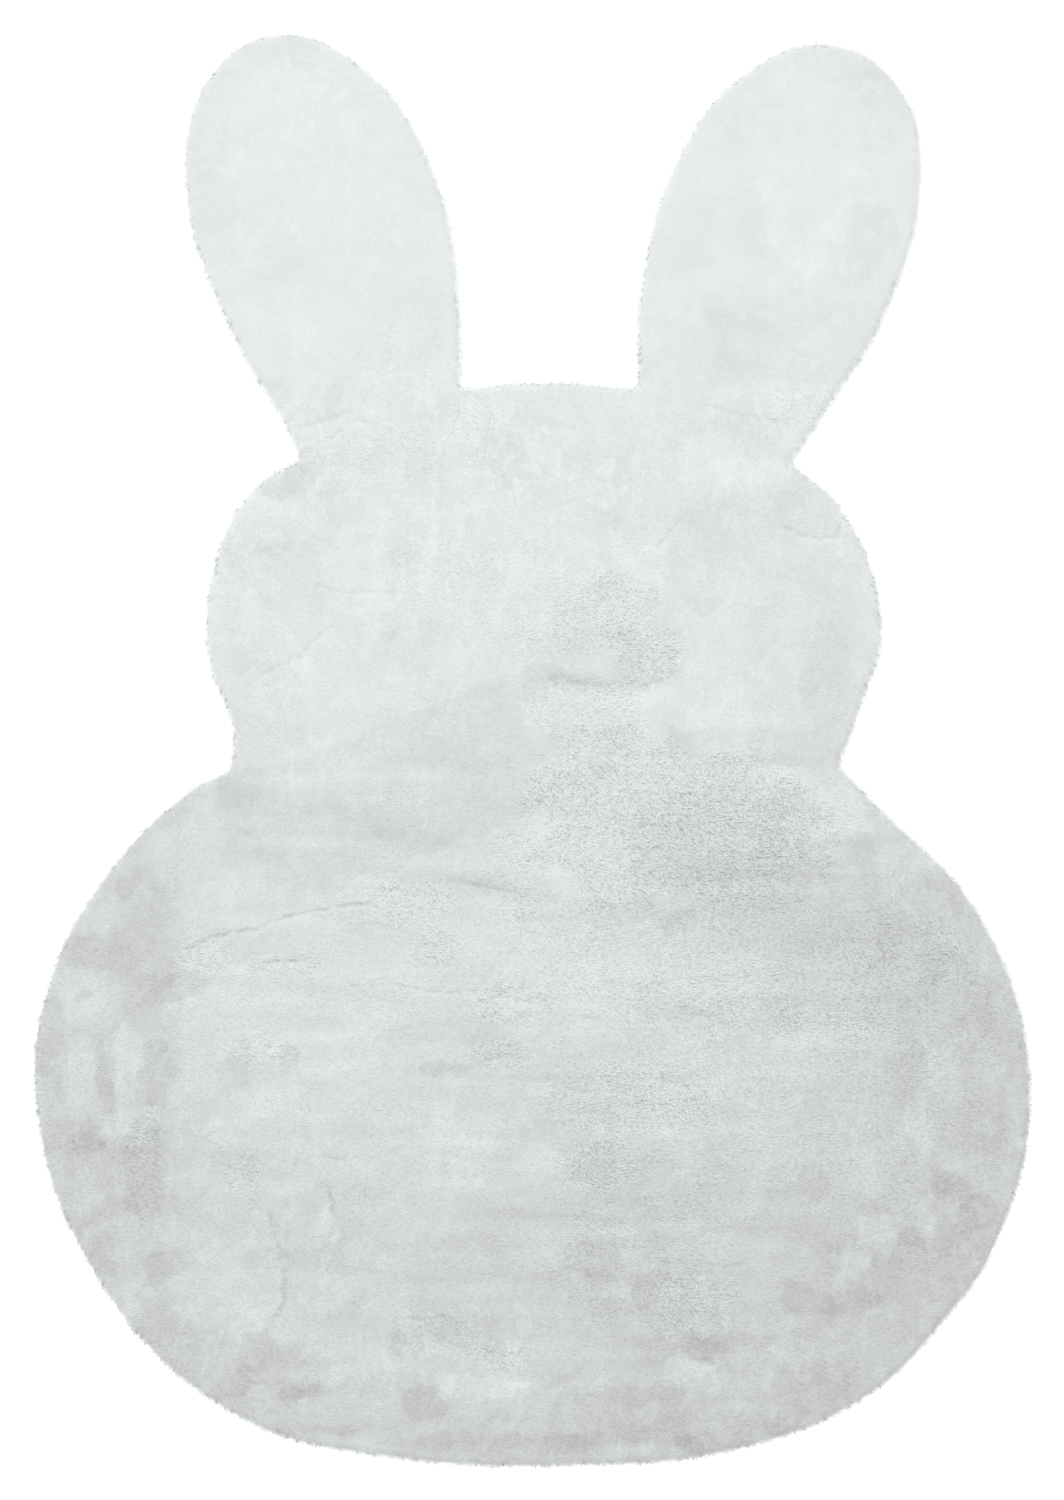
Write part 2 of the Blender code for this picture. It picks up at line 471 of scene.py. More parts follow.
class ColourSettings(bpy.types.PropertyGroup):
    """Colours of the pile and backing."""

    # Light Pile and Dark Pile are lit and shaded copies of one pile colour: painted light and painted
    # shade.
    light: colour("Light Pile", "Pile that leans towards the light", (0.671, 0.702, 0.710))
    dark: colour("Dark Pile", "Pile that leans away from the light", (0.389, 0.388, 0.397))
    # The rim colour is painted light: it makes the steep rim paler where less light falls on it.
    rim: colour("Rim", "Loose fibre ends along the rug's edge", (0.91, 0.93, 0.935))
    backing: colour("Backing", "Threads of the woven backing", (0.74, 0.74, 0.72))


class StageSettings(bpy.types.PropertyGroup):
    """Floor, light and camera."""

    floor_size: length("Floor", "Half the side of the floor", 30.0)
    floor_glow: number("Floor Glow", "Strength of the light that the floor gives off", 0.45)
    sky: number("Sky", "Strength of the even light from all round", 0.84)
    key_power: number("Key", "Power of the large soft lamp, in watts", 590.0)
    key_size: length("Key Size", "Width of the large soft lamp", 5.0)
    lens: number("Lens", "Focal length in millimetres", 85.0)
    margin: number("Margin", "Height of the view as a share of the rug's length", 1.04384)


# -------- node trees


class Wire:
    """One output in a node tree. Arithmetic on it adds Math or Vector Math nodes."""

    def __init__(self, nodes, socket):
        self.nodes = nodes
        self.socket = socket

    def combine(self, operation, first, second):
        """The node that joins two wires or numbers, one of them this wire."""
        vectors = [
            isinstance(side, tuple) or isinstance(side, Wire) and side.socket.type in ("VECTOR", "RGBA")
            for side in (first, second)
        ]
        settings = {"operation": operation}
        if not any(vectors):
            return self.nodes.add("ShaderNodeMath", settings, {0: first, 1: second})
        if operation == "MULTIPLY" and not all(vectors):
            vector, number = (first, second) if vectors[0] else (second, first)
            inputs = {0: vector, "Scale": number}
            return self.nodes.add("ShaderNodeVectorMath", {"operation": "SCALE"}, inputs)
        return self.nodes.add("ShaderNodeVectorMath", settings, {0: first, 1: second})

    def __add__(self, other):
        return self.combine("ADD", self, other)

    def __radd__(self, other):
        return self.combine("ADD", other, self)

    def __sub__(self, other):
        return self.combine("SUBTRACT", self, other)

    def __rsub__(self, other):
        return self.combine("SUBTRACT", other, self)

    def __mul__(self, other):
        return self.combine("MULTIPLY", self, other)

    def __rmul__(self, other):
        return self.combine("MULTIPLY", other, self)


class Nodes:
    """Adds nodes to a tree and links them."""

    def __init__(self, tree):
        self.tree = tree

    def add(self, kind, settings=None, inputs=None, output=0):
        """A node of this kind: its settings first, then its sockets' values or links."""
        node = self.tree.nodes.new(kind)
        for name, value in (settings or {}).items():
            setattr(node, name, value)
        for key, value in (inputs or {}).items():
            if isinstance(value, Wire):
                self.tree.links.new(value.socket, node.inputs[key])
            else:
                node.inputs[key].default_value = value
        return Wire(self, node.outputs[output]) if node.outputs else node

    def sibling(self, wire, output):
        """Another output of the node that a wire leaves."""
        return Wire(self, wire.socket.node.outputs[output])

    def number(self, name):
        """A number kept at each point of the mesh, for a shader."""
        return self.add("ShaderNodeAttribute", {"attribute_name": name}, {}, "Fac")

    def direction(self, name):
        """A vector kept at each point of the mesh, for a shader."""
        return self.add("ShaderNodeAttribute", {"attribute_name": name}, {}, "Vector")

    def kept(self, name, kind="FLOAT"):
        """A value kept at each point of the mesh, for geometry nodes."""
        return self.add("GeometryNodeInputNamedAttribute", {"data_type": kind}, {"Name": name})

    def between(self, low, high, seed):
        """A random number between two limits, for geometry nodes."""
        inputs = {2: low, 3: high, "Seed": seed}
        return self.add("FunctionNodeRandomValue", {"data_type": "FLOAT"}, inputs, 1)

    def clouds(self, place, size, detail=2.0, roughness=0.5):
        """Noise from 0 to 1 with lumps of about this size in metres."""
        inputs = {"Vector": place, "Scale": 1.0 / size, "Detail": detail, "Roughness": roughness}
        return self.add("ShaderNodeTexNoise", {}, inputs, "Fac")

    def rise(self, value, low, high):
        """0 below the low value, 1 above the high one, and a soft rise between."""
        inputs = {"Value": value, "From Min": low, "From Max": high}
        return self.add("ShaderNodeMapRange", {"interpolation_type": "SMOOTHSTEP"}, inputs)

    def grains(self, place, size):
        """Distance from the middle of the nearest grain, as a share of a grain."""
        inputs = {"Vector": place, "Scale": 1.0 / size}
        return self.add("ShaderNodeTexVoronoi", {}, inputs, "Distance")

    def blend(self, share, first, second):
        """A colour from the first at a share of 0 to the second at 1."""
        inputs = {"Factor": share, 6: first, 7: second}
        return self.add("ShaderNodeMix", {"data_type": "RGBA"}, inputs, 2)


def new_material(name, finish):
    """A material with this finish on its sockets: its tree's helper and its Principled shader."""
    material = bpy.data.materials.new(name)
    material.use_nodes = True
    shader = material.node_tree.nodes["Principled BSDF"]
    for socket, value in finish.items():
        shader.inputs[socket].default_value = value
    return material, Nodes(material.node_tree), shader


def paint(tint, share=1.0):
    """A colour for a node, darkened to a share of its strength."""
    return (*[value * share for value in tint], 1.0)


def feed(wire, shader, socket):
    """Link a wire to a socket of the shader."""
    wire.nodes.tree.links.new(wire.socket, shader.inputs[socket])


# -------- mesh helpers


def finish_piece(name, mesh, material):
    """Put a finished mesh into the scene as a piece that rides on the rug's body."""
    mesh.name = name
    mesh.materials.clear()
    mesh.materials.append(material)
    piece = bpy.data.objects.new(name, mesh)
    bpy.context.scene.collection.objects.link(piece)
    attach(piece, "root")
    return piece


def helper_object(mesh):
    """A short-lived object for a mesh whose modifiers are to be applied."""
    helper = bpy.data.objects.new("helper", mesh)
    bpy.context.scene.collection.objects.link(helper)
    return helper


def applied(helper):
    """A mesh with a helper's modifiers applied, and the helper gone."""
    bpy.context.view_layer.update()
    depsgraph = bpy.context.evaluated_depsgraph_get()
    mesh = bpy.data.meshes.new_from_object(helper.evaluated_get(depsgraph))
    drop(helper)
    return mesh


def drop(source):
    """Remove a helper object and its mesh."""
    mesh = source.data
    bpy.data.objects.remove(source, do_unlink=True)
    if mesh.users == 0:
        bpy.data.meshes.remove(mesh)


def rug_solid():
    """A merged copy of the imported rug's solid."""
    solid = bmesh.new()
    solid.from_mesh(frame["nodes"]["rug"].data)
    bmesh.ops.remove_doubles(solid, verts=solid.verts, dist=0.00001)
    return solid


def read(mesh, kind):
    """The mesh's vertex positions or normals, one row each."""
    values = np.empty(len(mesh.vertices) * 3, np.float32)
    mesh.vertices.foreach_get(kind, values)
    return values.reshape(-1, 3).astype(float)


def store(mesh, name, values):
    """Keep one number or vector for each vertex as an attribute."""
    flat = values.ndim == 1
    attribute = mesh.attributes.new(name, "FLOAT" if flat else "FLOAT_VECTOR", "POINT")
    attribute.data.foreach_set("value" if flat else "vector", values.astype(np.float32).ravel())


# -------- fields over the rug


def smooth_step(value):
    """0 below 0, 1 above 1, and a soft rise between."""
    value = np.clip(value, 0.0, 1.0)
    return value * value * (3.0 - 2.0 * value)


def cloud(places, size, seed):
    """Smooth noise from about -1 to 1 at each place, with lumps of about this size in metres."""
    shift = Vector((seed * 7.31, seed * 3.17, seed * 1.93))
    return np.array([noise.noise(Vector(place) / size + shift) for place in places]) * 1.4


def in_part(flat, part, wander, square=2.0, soft=1.0):
    """1 inside a part, 0 outside, with a soft wandering edge between, squarer above 2."""
    turn = math.radians(part.turn)
    east = flat[:, 0] - part.x
    north = flat[:, 1] - part.y
    along = (east * math.cos(turn) + north * math.sin(turn)) / part.wide
    across = (north * math.cos(turn) - east * math.sin(turn)) / part.high
    radius = (np.abs(along) ** square + np.abs(across) ** square) ** (1.0 / square) + wander
    soft = soft * part.soft
    return smooth_step((1.0 + 0.5 * soft - radius) / soft)


def from_crease(flat, crease):
    """Distance from a crease's line, positive on its left, and the length passed along it."""
    nearest = np.full(len(flat), 9.0)
    passed = np.zeros(len(flat))
    start = 0.0
    for (x, y), (next_x, next_y) in zip(crease.points, crease.points[1:]):
        run_x, run_y = next_x - x, next_y - y
        length = math.hypot(run_x, run_y)
        share = ((flat[:, 0] - x) * run_x + (flat[:, 1] - y) * run_y) / length**2
        share = np.clip(share, 0.0, 1.0)
        gap_x = flat[:, 0] - x - share * run_x
        gap_y = flat[:, 1] - y - share * run_y
        gap = np.hypot(gap_x, gap_y)
        side = np.where(run_x * gap_y - run_y * gap_x < 0.0, -1.0, 1.0)
        nearer = gap < np.abs(nearest)
        nearest = np.where(nearer, gap * side, nearest)
        passed = np.where(nearer, start + share * length, passed)
        start += length
    return nearest, passed, start


# How far from its line a crease still shows.
CREASE_REACH = 0.03

# Turns a place by 40 degrees and draws the noise there out along the turned axis.
SLANT = np.array(((0.50, -0.77, 0.0), (0.42, 0.92, 0.0), (0.0, 0.0, 1.0)))


class PileField:
    """What the pile does at each point of its body, from the tables above."""

    def __init__(self, places, rug):
        self.flat = places * (1.0, 1.0, 0.0)
        self.seed = rug.seed
        self.wander = self.cloud(0.045, 1) * 0.30 + self.cloud(0.016, 2) * 0.24
        self.wander += self.cloud(0.007, 18) * 0.14
        drift = [
            self.cloud(0.030, layer) * 0.008 + self.cloud(0.011, layer + 1) * 0.004
            for layer in (23, 25)
        ]
        self.drifted = self.flat + np.stack([*drift, np.zeros(len(places))], 1)
        self.coarse = self.coarseness()
        self.edge = np.zeros(len(places))

    def cloud(self, size, layer):
        """Noise over the rug with lumps of this size in metres. Each layer has its own number."""
        return cloud(self.flat, size, self.seed + layer)

    def coarseness(self):
        """0 where the pile is combed smooth to 1 where it stands in pebbles."""
        height, smoothest = zip(*reversed(SMOOTHEST))
        total = np.interp(self.flat[:, 1], height, smoothest)
        for zone in ZONES:
            total = total + zone.amount * in_part(self.flat, zone, self.wander * 0.6)
        uneven = 1.0 + 0.25 * self.cloud(0.05, 3)
        return np.clip(total * uneven, 0.0, 1.0)

    def painted_lean_shade(self):
        """The pile's painted light and shade: 0 where it shows darkest to 1 where it shows lightest."""
        height, base = zip(*reversed(PAINTED_SHADE_PROFILE))
        total = np.interp(self.flat[:, 1] + self.cloud(0.08, 4) * 0.02, height, base)
        for shade_sweep in PAINTED_SHADE_SWEEPS:
            total += shade_sweep.amount * in_part(self.flat, shade_sweep, self.wander * 0.25, 4.0)
        for shade_patch in PAINTED_SHADE_PATCHES:
            inside = in_part(self.drifted, shade_patch, self.wander * 0.5, 3.0, 0.55)
            total += shade_patch.amount * inside
            self.edge += 4.0 * abs(shade_patch.amount) * inside * (1.0 - inside)
        flank = smooth_step((np.abs(self.flat[:, 0]) - 0.30) / 0.12)
        below = smooth_step((0.05 - self.flat[:, 1]) / 0.1)
        across = self.streaks(0.15, 1.0, 0.018, 12) + 0.4 * self.streaks(0.12, 1.0, 0.007, 27)
        across = across * (1.0 - flank) * below
        along = self.streaks(1.0, 0.35, 0.018, 13) * flank * below
        return total + 0.05 * self.cloud(0.10, 14) + 0.15 * across + 0.08 * along

    def pebbles(self):
        """Height of the pebbles that coarse pile gathers into, mostly drawn out crosswise."""
        across = self.streaks(0.6, 1.2, 0.0042, 15)
        aslant = cloud(self.flat @ SLANT, 0.0042, self.seed + 16)
        share = smooth_step(0.5 + self.cloud(0.06, 17))
        return (across * share + aslant * (1.0 - share)) * self.coarse

    def stir(self):
        """0 where the pile has been left alone to 1 where it has been rubbed the most."""
        height, most = zip(*reversed(STIRRED))
        flank = smooth_step((np.abs(self.flat[:, 0]) - 0.25) / 0.2)
        low = smooth_step((-0.02 - self.flat[:, 1]) / 0.1)
        total = np.interp(self.flat[:, 1], height, most) + 0.2 * flank * low
        return np.clip(total * (1.0 + 0.4 * self.cloud(0.08, 19)), 0.0, 1.0)

    def streaks(self, east, north, size, layer):
        """Noise drawn out along the axis whose scale is the smaller."""
        return cloud(self.flat * (east, north, 1.0), size, self.seed + layer)

    def crease_all(self):
        """Sink the creases, paint shade at their bottoms and highlights on their lips, and part the
        pile.
        """
        self.lean = self.painted_lean_shade()
        self.sink = np.zeros(len(self.flat))
        self.parting = np.zeros((len(self.flat), 2))
        jitter = self.cloud(0.010, 6) * 0.0016
        broken = smooth_step(0.7 + self.cloud(0.005, 20))
        for number, crease in enumerate(CREASES):
            gap, passed, length = from_crease(self.flat, crease)
            near = np.abs(gap) < CREASE_REACH
            gap = gap + jitter
            place = np.zeros((near.sum(), 3))
            place[:, 0] = passed[near]
            breaks = np.ones(len(gap))
            open_here = cloud(place, 0.010, 20 + number) * 1.3 + 1.4 - 2.0 * crease.closed
            breaks[near] = smooth_step(open_here)
            ends = smooth_step(np.minimum(passed, length - passed) / 0.006 + 0.35)
            shown = near * (0.25 + 0.75 * breaks) * ends
            bottom = np.exp(-((gap / (0.7 * crease.width)) ** 2))
            lip = np.exp(-(((gap + 1.8 * crease.width) / (1.3 * crease.width)) ** 2))
            self.sink += shown * (0.5 * crease.deep * bottom - 0.15 * crease.deep * lip)
            # Painted highlight on the lower lip, painted shade at the bottom.
            self.lean += shown * (0.5 * crease.lip * lip - 0.7 * crease.dark * bottom * broken)
            apart = shown * np.exp(-((gap / 0.006) ** 2)) * np.sign(gap)
            (x, y), (next_x, next_y) = crease.points[0], crease.points[-1]
            run = math.hypot(next_x - x, next_y - y)
            self.parting[:, 0] -= apart * (next_y - y) / run
            self.parting[:, 1] += apart * (next_x - x) / run
        self.creased = np.abs(self.parting).sum(1)

    def lay(self):
        """The way the combed pile leans, as seen from above, pushed apart at creases."""
        turn = self.cloud(0.16, 7) * 1.3 + self.cloud(0.05, 8) * 0.7
        way = np.stack([np.sin(turn), -np.cos(turn), np.zeros(len(turn))], 1)
        combed = 1.0 - np.clip(self.creased, 0.0, 1.0)
        way[:, :2] = way[:, :2] * combed[:, None] + self.parting * 1.2
        return way


# -------- backing


def backing_material(colours):
    """Plain weave: threads that pass over and under each other, slightly slubbed."""
    finish = {"Roughness": 0.92, "Specular IOR Level": 0.2}
    material, nodes, shader = new_material("woven_backing", finish)
    place = nodes.add("ShaderNodeTexCoord", {}, {}, "Object")
    thread = {"wave_type": "BANDS", "wave_profile": "SIN"}
    drift = {"Vector": place, "Scale": 260.0, "Distortion": 1.2, "Detail": 1.0}
    warp = nodes.add("ShaderNodeTexWave", thread | {"bands_direction": "X"}, drift, "Fac")
    weft = nodes.add("ShaderNodeTexWave", thread | {"bands_direction": "Y"}, drift, "Fac")
    height = warp * weft + (1.0 - warp) * (1.0 - weft)
    slub = nodes.clouds(place, 0.02, 3.0)
    shade = (height * 0.5 + slub * 0.5) * 0.8
    threads = nodes.blend(shade, paint(colours.backing, 0.72), paint(colours.backing))
    feed(threads, shader, "Base Color")
    inputs = {"Strength": 0.6, "Distance": 0.0006, "Height": height}
    feed(nodes.add("ShaderNodeBump", {}, inputs), shader, "Normal")
    return material


class PLUSHRUG_OT_backing(bpy.types.Operator):
    """Build the cloth that the pile is knitted into"""

    bl_idname = "plushrug.backing"
    bl_label = "Backing"

    def execute(self, context):
        rug = context.scene.rug_settings
        solid = rug_solid()
        bmesh.ops.bisect_plane(
            solid,
            geom=solid.verts[:] + solid.edges[:] + solid.faces[:],
            plane_co=(0.0, 0.0, rug.backing_thickness),
            plane_no=(0.0, 0.0, 1.0),
            clear_outer=True,
        )
        bmesh.ops.holes_fill(solid, edges=solid.edges[:])
        solid.normal_update()
        inward = [(vert, Vector((vert.normal.x, vert.normal.y, 0.0))) for vert in solid.verts]
        for vert, outward in inward:
            if outward.length > 0.01:
                vert.co -= outward.normalized() * rug.backing_inset
        mesh = bpy.data.meshes.new("backing")
        solid.to_mesh(mesh)
        solid.free()
        backing = finish_piece("backing", mesh, backing_material(context.scene.colour_settings))
        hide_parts("rug")
        return {"FINISHED"}


# -------- pile


def pile_body(rug):
    """The rounded body of the pile, in even cells that are finer beside creases and at the rim."""
    mesh = bpy.data.meshes.new("pile_body")
    solid = rug_solid()
    solid.to_mesh(mesh)
    solid.free()
    helper = helper_object(mesh)
    even = helper.modifiers.new("Even Cells", "REMESH")
    even.mode = "VOXEL"
    even.voxel_size = rug.cell
    mesh = applied(helper)
    body = bmesh.new()
    body.from_mesh(mesh)
    under = [face for face in body.faces if face.calc_center_median().z < UNDERSIDE]
    bmesh.ops.delete(body, geom=under, context="FACES")
    body.verts.ensure_lookup_table()
    places = np.array([vert.co for vert in body.verts])
    close = np.zeros(len(places), bool)
    for crease in CREASES:
        gap, _, _ = from_crease(places, crease)
        close |= np.abs(gap) < 1.5 * crease.width + rug.cell
    close &= places[:, 2] > UPPER_FACE
    split(body, close, 2)
    steep = np.array([vert.normal.z < 0.8 for vert in body.verts[:len(places)]])
    split(body, steep, 1)
    bmesh.ops.triangulate(body, faces=[face for face in body.faces if len(face.verts) > 4])
    body.to_mesh(mesh)
    body.free()
    return mesh


def split(body, chosen, cuts):
    """Cut the edges between the chosen vertices into more cells."""
    last = len(chosen)
    edges = [
        edge for edge in body.edges
        if all(vert.index < last and chosen[vert.index] for vert in edge.verts)
    ]
    bmesh.ops.subdivide_edges(body, edges=edges, cuts=cuts, use_grid_fill=True)
    body.verts.index_update()
    body.verts.ensure_lookup_table()


def shape_body(mesh, rug):
    """Draw the body in by its depth, give it its waves and creases, and keep the pile's fields."""
    places = read(mesh, "co")
    normals = read(mesh, "normal")
    field = PileField(places, rug)
    field.crease_all()
    # From 0 on the upper face to 1 where the rim is steep.
    side = smooth_step((0.94 - normals[:, 2]) / 0.70)
    ragged = (field.cloud(0.0035, 21) * 0.6 + field.cloud(0.009, 22) * 0.6) * rug.ragged
    places -= normals * (rug.depth * (1.0 - 0.5 * side) - ragged * side)[:, None]
    top = smooth_step((places[:, 2] - 0.006) / 0.004)
    swell = field.cloud(0.14, 9) * 0.6 + field.cloud(0.055, 10) * 0.4
    lump = field.cloud(0.014, 11) * field.coarse
    relief = swell * rug.swell + lump * rug.lump + field.pebbles() * rug.pebble - field.sink
    places[:, 2] += top * relief
    places[:, 2] = np.maximum(places[:, 2], BODY_LOW)
    mesh.vertices.foreach_set("co", places.astype(np.float32).ravel())
    mesh.update()
    mesh.shade_smooth()
    # The lean carries the pile's painted light and shade.
    store(mesh, "lean", field.lean)
    store(mesh, "coarse", field.coarse)
    store(mesh, "edge", field.edge)
    store(mesh, "stir", field.stir())
    store(mesh, "lay", field.lay())
    normals = read(mesh, "normal")
    store(mesh, "out", normals)
    normals[:, 2] += side
    store(mesh, "upright", normals / np.linalg.norm(normals, axis=1)[:, None])
    # The body takes the painted shade of fibres near their roots.
    store(mesh, "tip", np.full(len(places), 0.35))
    store(mesh, "own", np.zeros(len(places)))
    store(mesh, "side", side)


def fibre_shape(name, lean, twist):
    """One flat fibre, one unit long along +Z, its flat side to -X and bent towards +X."""
    fibre = bmesh.new()
    tip_share = fibre.verts.layers.float.new("tip")
    quarter = Matrix.Rotation(math.radians(-90.0), 4, "Z")
    ring = bmesh.ops.create_circle(fibre, segments=3, radius=0.4, matrix=quarter)["verts"]
    bmesh.ops.scale(fibre, verts=ring, vec=(0.28, 1.0, 1.0))
    # From the ring at its root it swells to a belly, then closes to a tip.
    for rise, width, bend in ((0.45, 1.4, 0.02), (1.0, 0.0, lean)):
        rim = [edge for edge in fibre.edges if all(vert in ring for vert in edge.verts)]
        grown = bmesh.ops.extrude_edge_only(fibre, edges=rim)
        ring = [item for item in grown["geom"] if isinstance(item, bmesh.types.BMVert)]
        middle = sum((vert.co for vert in ring), Vector()) / len(ring)
        for vert in ring:
            vert.co = (vert.co - middle) * width + Vector((bend, twist * rise, rise))
            vert[tip_share] = rise
    bmesh.ops.remove_doubles(fibre, verts=fibre.verts, dist=0.001)
    bmesh.ops.recalc_face_normals(fibre, faces=fibre.faces)
    mesh = bpy.data.meshes.new(name)
    fibre.to_mesh(mesh)
    fibre.free()
    return bpy.data.objects.new(name, mesh)


def fibre_tree(fibres, shapes):
    """Node tree that scatters fibres over the rim of a mesh, laid by its attributes."""
    tree = bpy.data.node_groups.new("Fibres", "GeometryNodeTree")
    tree.interface.new_socket("Geometry", in_out="INPUT", socket_type="NodeSocketGeometry")
    tree.interface.new_socket("Geometry", in_out="OUTPUT", socket_type="NodeSocketGeometry")
    tree.interface.new_socket("Seed", in_out="INPUT", socket_type="NodeSocketInt")
    nodes = Nodes(tree)
    surface = nodes.add("NodeGroupInput")
    side = nodes.kept("side")
    coarse = nodes.kept("coarse")
    points = nodes.add(
        "GeometryNodeDistributePointsOnFaces",
        {"distribute_method": "RANDOM"},
        {"Mesh": surface, "Density": side * fibres.density, "Seed": nodes.sibling(surface, 1)},
    )
    normal = nodes.kept("out", "FLOAT_VECTOR")
    place = nodes.add("GeometryNodeInputPosition")
    cells = {"Vector": place, "Scale": 1.0 / fibres.clump}
    middle = nodes.add("ShaderNodeTexVoronoi", {}, cells, "Position")
    pebble_way = nodes.sibling(middle, "Color") - (0.5, 0.5, 0.5)
    to_middle = (middle - place) * (1.0 / fibres.clump)
    wild = nodes.add(
        "FunctionNodeRandomValue", {"data_type": "FLOAT_VECTOR"},
        {0: (-1.0, -1.0, -0.4), 1: (1.0, 1.0, 1.0), "Seed": 11},
    )
    down = nodes.add("ShaderNodeCombineXYZ", {}, {"Z": side * -0.25})
    way = (
        normal * (0.04 + coarse * 0.22 + side * 0.9)
        + nodes.kept("lay", "FLOAT_VECTOR") * (0.95 - coarse * 0.4 - side * 0.85)
        + pebble_way * (coarse * 0.9)
        + to_middle * (coarse * 0.3)
        + wild * (0.06 + coarse * 0.15 + side * 0.1)
        + down
    )
    up = nodes.add("ShaderNodeCombineXYZ", {}, {"Z": side * 2.0})
    along = nodes.add("FunctionNodeAlignRotationToVector", {"axis": "Z"}, {"Vector": way})
    facing = nodes.add(
        "FunctionNodeAlignRotationToVector", {"axis": "X", "pivot_axis": "Z"},
        {"Rotation": along, "Vector": (normal + up) * -1.0},
    )
    # Fibres get thinner and shorter as the rim gets steeper.
    width = nodes.between(0.75, 1.25, 6) * fibres.width * (1.0 - side * 0.78)
    length = nodes.between(0.5, 1.2, 5) * fibres.length * (1.0 - side * 0.35)
    size = nodes.add("ShaderNodeCombineXYZ", {}, {"X": width, "Y": width, "Z": length})
    marked = nodes.add(
        "GeometryNodeStoreNamedAttribute", {"data_type": "FLOAT", "domain": "POINT"},
        {"Geometry": points, "Name": "own", "Value": nodes.between(-1.0, 1.0, 8)},
    )
    choices = nodes.add(
        "GeometryNodeCollectionInfo", {"transform_space": "ORIGINAL"},
        {"Collection": shapes, "Separate Children": True, "Reset Children": True},
    )
    pick = nodes.add(
        "FunctionNodeRandomValue", {"data_type": "INT"}, {4: 0, 5: 3, "Seed": 7}, 2
    )
    placed = nodes.add(
        "GeometryNodeInstanceOnPoints", {},
        {"Points": marked, "Instance": choices, "Pick Instance": True,
         "Instance Index": pick, "Rotation": facing, "Scale": size},
    )
    real = nodes.add("GeometryNodeRealizeInstances", {}, {"Geometry": placed})
    joined = nodes.add("GeometryNodeJoinGeometry", {}, {})
    tree.links.new(surface.socket, joined.socket.node.inputs[0])
    tree.links.new(real.socket, joined.socket.node.inputs[0])
    nodes.add("NodeGroupOutput", {}, {"Geometry": joined})
    return tree


# The bands that the pile is cut into, so that each piece stays a fair size: its name, and where it
# starts and ends, measured from the middle of the rug towards the ears.
BANDS = (
    ("ears_pile", 0.40, 1.0),
    ("head_pile", 0.04, 0.40),
    ("shoulder_pile", -0.20, 0.04),
    ("belly_pile", -0.40, -0.20),
    ("hip_pile", -0.57, -0.40),
    ("base_pile", -1.0, -0.57),
)


def lift_off_floor(mesh):
    """Bend the ends of fibres that would dip under the floor back above it."""
    places = read(mesh, "co")
    places[:, 2] = np.maximum(places[:, 2], FIBRE_LOW)
    mesh.vertices.foreach_set("co", places.astype(np.float32).ravel())
    mesh.update()


def lay_out(mesh):
    """Map a piece of pile as it is seen from above, with its sides folded outwards."""
    places = read(mesh, "co")
    outward = np.empty(len(places) * 3, np.float32)
    mesh.attributes["out"].data.foreach_get("vector", outward)
    outward = outward.reshape(-1, 3)[:, :2]
    flat = places[:, :2] + outward * (RUG_HIGH.z - places[:, 2])[:, None]
    flat = (flat - flat.min(0)) / (flat.max(0) - flat.min(0)) * 0.99 + 0.005
    corners = np.empty(len(mesh.loops), np.int32)
    mesh.loops.foreach_get("vertex_index", corners)
    layer = mesh.uv_layers.new(name="OFBake")
    layer.data.foreach_set("uv", flat[corners].astype(np.float32).ravel())


def grow_fibres(body, fibres, material):
    """Cut the body into bands from the ears down and grow loose fibres round the rim of each."""
    shapes = bpy.data.collections.new("fibre_shapes")
    bpy.context.scene.collection.children.link(shapes)
    for index, (lean, twist) in enumerate(((0.25, 0.1), (0.4, -0.15), (0.1, 0.2), (0.3, 0.0))):
        shapes.objects.link(fibre_shape(f"fibre_{index}", lean, twist))
    tree = fibre_tree(fibres, shapes)
    grown = []
    for index, (name, low, high) in enumerate(BANDS):
        mesh = body.copy()
        band = bmesh.new()
        band.from_mesh(mesh)
        gone = [face for face in band.faces if not low < face.calc_center_median().y <= high]
        bmesh.ops.delete(band, geom=gone, context="FACES")
        band.to_mesh(mesh)
        band.free()
        helper = helper_object(mesh)
        grow = helper.modifiers.new("Fibres", "NODES")
        grow.node_group = tree
        grow["Socket_2"] = fibres.seed + index
        mesh = applied(helper)
        lift_off_floor(mesh)
        lay_out(mesh)
        grown.append(finish_piece(name, mesh, material))
    for shape in list(shapes.objects):
        drop(shape)
    bpy.data.collections.remove(shapes)
    bpy.data.meshes.remove(body)
    return grown


# Sizes in metres of what shows in the pile: single fibres, the strands at the rim, the pebbles of
# coarse pile, and the painted light and shade of rubbed pile from small to large.
FIBRE = 0.0018
STRAND = 0.0020
PEBBLE = 0.0031
RAGGED = 0.010
STROKE = 0.013
WISP = 0.026
SHADE_BLOTCH = 0.050
# How pebbles are drawn out crosswise.
DRAWN_OUT = (0.60, 1.45, 1.0)


def pile_grain(nodes, place):
    """The pebbles that coarse pile gathers into and the single fibres, both about a middle of 0."""
    across = nodes.grains(place * DRAWN_OUT, PEBBLE)
    turned = nodes.add(
        "ShaderNodeVectorRotate", {"rotation_type": "Z_AXIS"}, {"Vector": place, "Angle": 0.9},
    )
    aslant = nodes.grains(turned * DRAWN_OUT, PEBBLE)
    pebble = 0.5 - (across + (aslant - across) * nodes.clouds(place, 0.06))
    fibre = nodes.clouds(place * (1.3, 0.8, 1.0), FIBRE, 1.0) - 0.5
    return pebble, fibre


